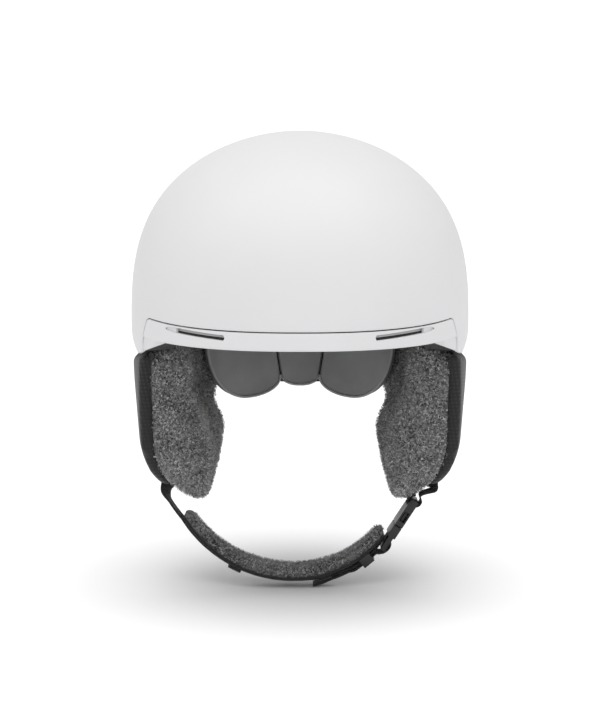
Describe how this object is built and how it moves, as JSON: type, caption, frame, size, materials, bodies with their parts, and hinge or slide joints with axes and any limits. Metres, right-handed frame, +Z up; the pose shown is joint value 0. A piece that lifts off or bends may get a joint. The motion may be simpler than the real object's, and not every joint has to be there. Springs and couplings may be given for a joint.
{
  "type": "ski helmet",
  "caption": "Hard-shell winter sports helmet with a slotted front brim, fleece ear pads, dial-tightened rear cradle, padded chin strap with side-release buckle, and a rear goggle strap clip.",
  "frame": {"origin": "centre of the head opening, level with the lowest point of the front brim", "axes": "+Z up through the crown, -Y to the front, +X to the wearer's left"},
  "size_m": [0.2182, 0.2782, 0.2991],
  "materials": {
    "shell": "smooth matte white",
    "vent": "grey moulded duct",
    "foam": "moulded bead foam",
    "pad": "brushed knit",
    "cover": "black woven",
    "fleece": "heather grey sherpa fleece",
    "eva": "moulded soft foam pad",
    "plastic": "black moulded",
    "webbing": "flat woven webbing",
    "steel": "plain steel"
  },
  "bodies": {
    "helmet": {"outer_shell": "shell", "brim": "shell", "brim_vent_left": "vent", "brim_vent_right": "vent", "eps_liner": "foam", "crown_pad": "pad", "brow_pad": "pad", "side_pad_left": "pad", "side_pad_right": "pad", "ear_cover_left": "cover", "ear_cover_right": "cover", "ear_fleece_left": "fleece", "ear_fleece_right": "fleece", "strap_anchor_front_left": "plastic", "strap_anchor_front_right": "plastic", "strap_anchor_rear_left": "plastic", "strap_anchor_rear_right": "plastic", "strap_front_left": "webbing", "strap_front_right": "webbing", "strap_rear_left": "webbing", "strap_rear_right": "webbing", "temple_pin_left": "plastic", "temple_pin_right": "plastic", "goggle_clip_base": "plastic", "goggle_clip_pin": "steel"},
    "cradle": {"headband_left": "plastic", "headband_right": "plastic", "cradle_frame": "plastic", "cradle_pad_left": "eva", "cradle_pad_right": "eva", "cradle_pad_centre": "eva", "dial_housing": "plastic", "dial_cover": "plastic"},
    "dial": {"dial_knob": "plastic", "dial_pinion": "plastic", "dial_screw": "steel"},
    "rack_left": {"rack_left": "plastic"},
    "rack_right": {"rack_right": "plastic"},
    "goggle_clip": {"goggle_clip": "plastic"},
    "chin_straps": {"strap_to_chin_pad": "webbing", "strap_to_buckle": "webbing", "buckle_socket": "plastic"},
    "chin_pad": {"chin_pad_fleece": "fleece", "chin_pad_backing": "cover", "chin_webbing": "webbing", "chin_keeper_left": "webbing", "chin_keeper_right": "webbing", "buckle_plug": "plastic"},
    "release_tab_front": {"release_tab_front": "plastic"},
    "release_tab_rear": {"release_tab_rear": "plastic"},
    "strap_slider": {"strap_slider": "plastic"}
  },
  "joints": [
    {"name": "cradle_tilt", "type": "hinge", "parent": "helmet", "child": "cradle", "pos_m": [0, -0.015, 0.004], "axis": [1, 0, 0], "range_deg": [-3.5, 3.5]},
    {"name": "dial_turn", "type": "hinge", "parent": "cradle", "child": "dial", "pos_m": [0, 0.1115, -0.0365], "axis": [0, 1, 0], "range_deg": [-75, 75]},
    {"name": "rack_left_slide", "type": "slide", "parent": "cradle", "child": "rack_left", "axis": [1, 0, 0], "range_m": [-0.0068, 0.0068]},
    {"name": "rack_right_slide", "type": "slide", "parent": "cradle", "child": "rack_right", "axis": [1, 0, 0], "range_m": [-0.0068, 0.0068]},
    {"name": "goggle_clip_lift", "type": "hinge", "parent": "helmet", "child": "goggle_clip", "pos_m": [0, 0.1424, 0.038], "axis": [1, 0, 0], "range_deg": [0, 70]},
    {"name": "chin_strap_swing", "type": "hinge", "parent": "helmet", "child": "chin_straps", "pos_m": [0, 0.002, -0.106], "axis": [1, 0, 0], "range_deg": [-18, 15]},
    {"name": "buckle_release", "type": "slide", "parent": "chin_straps", "child": "chin_pad", "axis": [-0.5452, 0, -0.8383], "range_m": [0, 0.02]},
    {"name": "release_tab_front_press", "type": "slide", "parent": "chin_pad", "child": "release_tab_front", "axis": [0, 1, 0], "range_m": [0, 0.0018], "stiffness_N_per_m": 800, "springref_m": -0.0005},
    {"name": "release_tab_rear_press", "type": "slide", "parent": "chin_pad", "child": "release_tab_rear", "axis": [0, -1, 0], "range_m": [0, 0.0018], "stiffness_N_per_m": 800, "springref_m": -0.0005},
    {"name": "slider_shift", "type": "slide", "parent": "chin_pad", "child": "strap_slider", "axis": [0.766, 0, 0.6428], "range_m": [-0.004, 0.002]}
  ],
  "couplings": [
    {"joint": "rack_left_slide", "follows": "dial_turn", "m_per_rad": 0.005},
    {"joint": "rack_right_slide", "follows": "dial_turn", "m_per_rad": -0.005}
  ]
}
